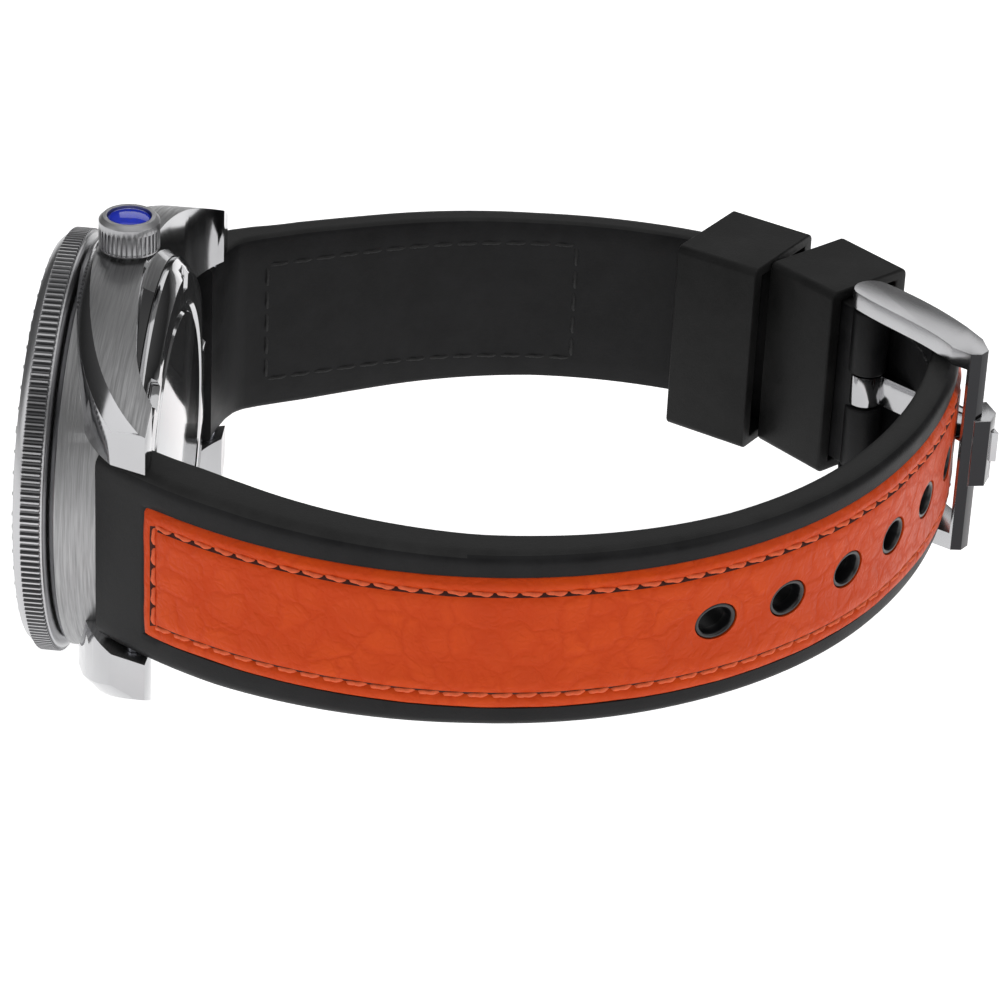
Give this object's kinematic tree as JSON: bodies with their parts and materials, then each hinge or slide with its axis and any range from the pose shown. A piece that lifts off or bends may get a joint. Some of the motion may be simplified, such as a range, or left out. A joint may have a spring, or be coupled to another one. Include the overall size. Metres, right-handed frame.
{
  "type": "wristwatch",
  "caption": "Diver's wristwatch closed on a two-piece rubber and leather strap, with a turning bezel, a pull-out crown, a geared movement and a pin buckle.",
  "frame": {"origin": "centre of the caseback's flat outer face", "axes": "+X from the dial through the caseback to the buckle, +Y to 12 o'clock, +Z to the crown at 3 o'clock"},
  "size_m": [0.0916, 0.0753, 0.0457],
  "materials": {
    "case_steel": "brushed with polished edges",
    "polished_steel": "polished",
    "bezel_steel": "polished coin edge",
    "sapphire": "clear",
    "insert": "glossy",
    "luminous": "matte",
    "dial_paint": "satin",
    "chapter": "satin",
    "hand_steel": "satin",
    "hand_orange": "satin",
    "blue_cap": "glossy",
    "black_rubber": "satin",
    "orange_leather": "pebbled",
    "orange_thread": "twisted",
    "seal_rubber": "satin",
    "movement_metal": "nickel plated",
    "gilt_brass": "gilt",
    "ruby": "glossy",
    "spring_steel": "blued or plain",
    "rotor_metal": "brushed",
    "liner": "moulded"
  },
  "bodies": {
    "case": {"mid_case": "case_steel", "crown_tube": "case_steel", "caseback": "polished_steel", "caseback_gasket": "seal_rubber", "crystal": "sapphire", "crystal_gasket": "seal_rubber", "chapter_ring": "chapter", "bezel_gasket": "seal_rubber", "bezel_click_spring": "spring_steel", "movement_ring": "liner", "main_plate": "movement_metal", "barrel_bridge": "movement_metal", "train_bridge": "movement_metal", "balance_cock": "movement_metal", "movement_screws": "spring_steel", "jewels": "ruby", "mainspring": "spring_steel", "hairspring": "spring_steel", "barrel_arbor": "spring_steel", "ratchet_wheel": "spring_steel", "rotor_bearing": "spring_steel", "dial": "dial_paint", "hour_markers": "luminous", "strap_long": "black_rubber", "inlay_long": "orange_leather", "strap_short": "black_rubber", "inlay_short": "orange_leather", "stitches_long": "orange_thread", "stitches_short": "orange_thread", "spring_bar_12": "spring_steel", "spring_bar_6": "spring_steel", "keeper_fixed": "black_rubber", "buckle_bar": "spring_steel"},
    "bezel": {"bezel_ring": "bezel_steel", "bezel_insert": "insert", "bezel_pip": "luminous"},
    "setting": {"setting_lever": "spring_steel"},
    "crown": {"crown": "polished_steel", "crown_cap": "blue_cap", "crown_gasket": "seal_rubber", "winding_stem": "spring_steel", "clutch_wheel": "spring_steel"},
    "minute": {"centre_wheel": "gilt_brass", "minute_hand": "hand_orange"},
    "hour": {"hour_wheel": "gilt_brass", "hour_hand": "hand_steel"},
    "seconds": {"fourth_wheel": "gilt_brass", "seconds_hand": "hand_orange"},
    "third": {"third_wheel": "gilt_brass"},
    "escape": {"escape_wheel": "spring_steel"},
    "barrel": {"mainspring_barrel": "gilt_brass"},
    "rotor": {"rotor": "rotor_metal"},
    "balance": {"balance_wheel": "gilt_brass"},
    "fork": {"pallet_fork": "spring_steel"},
    "buckle": {"buckle_frame": "polished_steel"},
    "tongue": {"buckle_tongue": "polished_steel"},
    "keeper": {"keeper_free": "black_rubber"}
  },
  "joints": [
    {"name": "bezel_turn", "type": "hinge", "parent": "case", "child": "bezel", "pos_m": [0, 0, 0], "axis": [1, 0, 0], "continuous": true},
    {"name": "crown_pull", "type": "slide", "parent": "case", "child": "setting", "axis": [0, 0, 1], "range_m": [0, 0.0012]},
    {"name": "crown_turn", "type": "hinge", "parent": "setting", "child": "crown", "pos_m": [-0.0047, 0, 0.022], "axis": [0, 0, 1], "continuous": true},
    {"name": "minute_turn", "type": "hinge", "parent": "case", "child": "minute", "pos_m": [0, 0, 0], "axis": [1, 0, 0], "continuous": true},
    {"name": "hour_turn", "type": "hinge", "parent": "case", "child": "hour", "pos_m": [0, 0, 0], "axis": [1, 0, 0], "continuous": true},
    {"name": "seconds_turn", "type": "hinge", "parent": "case", "child": "seconds", "pos_m": [0, 0, 0], "axis": [1, 0, 0], "continuous": true},
    {"name": "third_turn", "type": "hinge", "parent": "case", "child": "third", "pos_m": [0, -0.00369, 0.00213], "axis": [1, 0, 0], "continuous": true},
    {"name": "escape_turn", "type": "hinge", "parent": "case", "child": "escape", "pos_m": [0, 0.00353, 0.00129], "axis": [1, 0, 0], "continuous": true},
    {"name": "barrel_turn", "type": "hinge", "parent": "case", "child": "barrel", "pos_m": [0, -0.00411, -0.00411], "axis": [1, 0, 0], "continuous": true},
    {"name": "rotor_spin", "type": "hinge", "parent": "case", "child": "rotor", "pos_m": [0, 0, 0], "axis": [1, 0, 0], "continuous": true},
    {"name": "balance_swing", "type": "hinge", "parent": "case", "child": "balance", "pos_m": [0, 0.00704, -0.00493], "axis": [1, 0, 0], "range_deg": [-135, 135]},
    {"name": "fork_rock", "type": "hinge", "parent": "case", "child": "fork", "pos_m": [0, 0.00501, -0.00133], "axis": [1, 0, 0], "range_deg": [-5, 5]},
    {"name": "buckle_tilt", "type": "hinge", "parent": "case", "child": "buckle", "pos_m": [0.06581, 0.02512, 0], "axis": [0, 0, 1], "range_deg": [-1, 0]},
    {"name": "tongue_lift", "type": "hinge", "parent": "case", "child": "tongue", "pos_m": [0.06581, 0.02512, 0], "axis": [0, 0, 1], "range_deg": [0, 3]},
    {"name": "keeper_slide", "type": "slide", "parent": "case", "child": "keeper", "axis": [0.8829, -0.4695, 0], "range_m": [-0.0025, 0]}
  ],
  "couplings": [
    {"joint": "minute_turn", "follows": "seconds_turn", "ratio": 0.016667},
    {"joint": "hour_turn", "follows": "seconds_turn", "ratio": 0.0013889},
    {"joint": "third_turn", "follows": "seconds_turn", "ratio": -0.13333},
    {"joint": "escape_turn", "follows": "seconds_turn", "ratio": -7},
    {"joint": "barrel_turn", "follows": "seconds_turn", "ratio": -0.0022222}
  ]
}
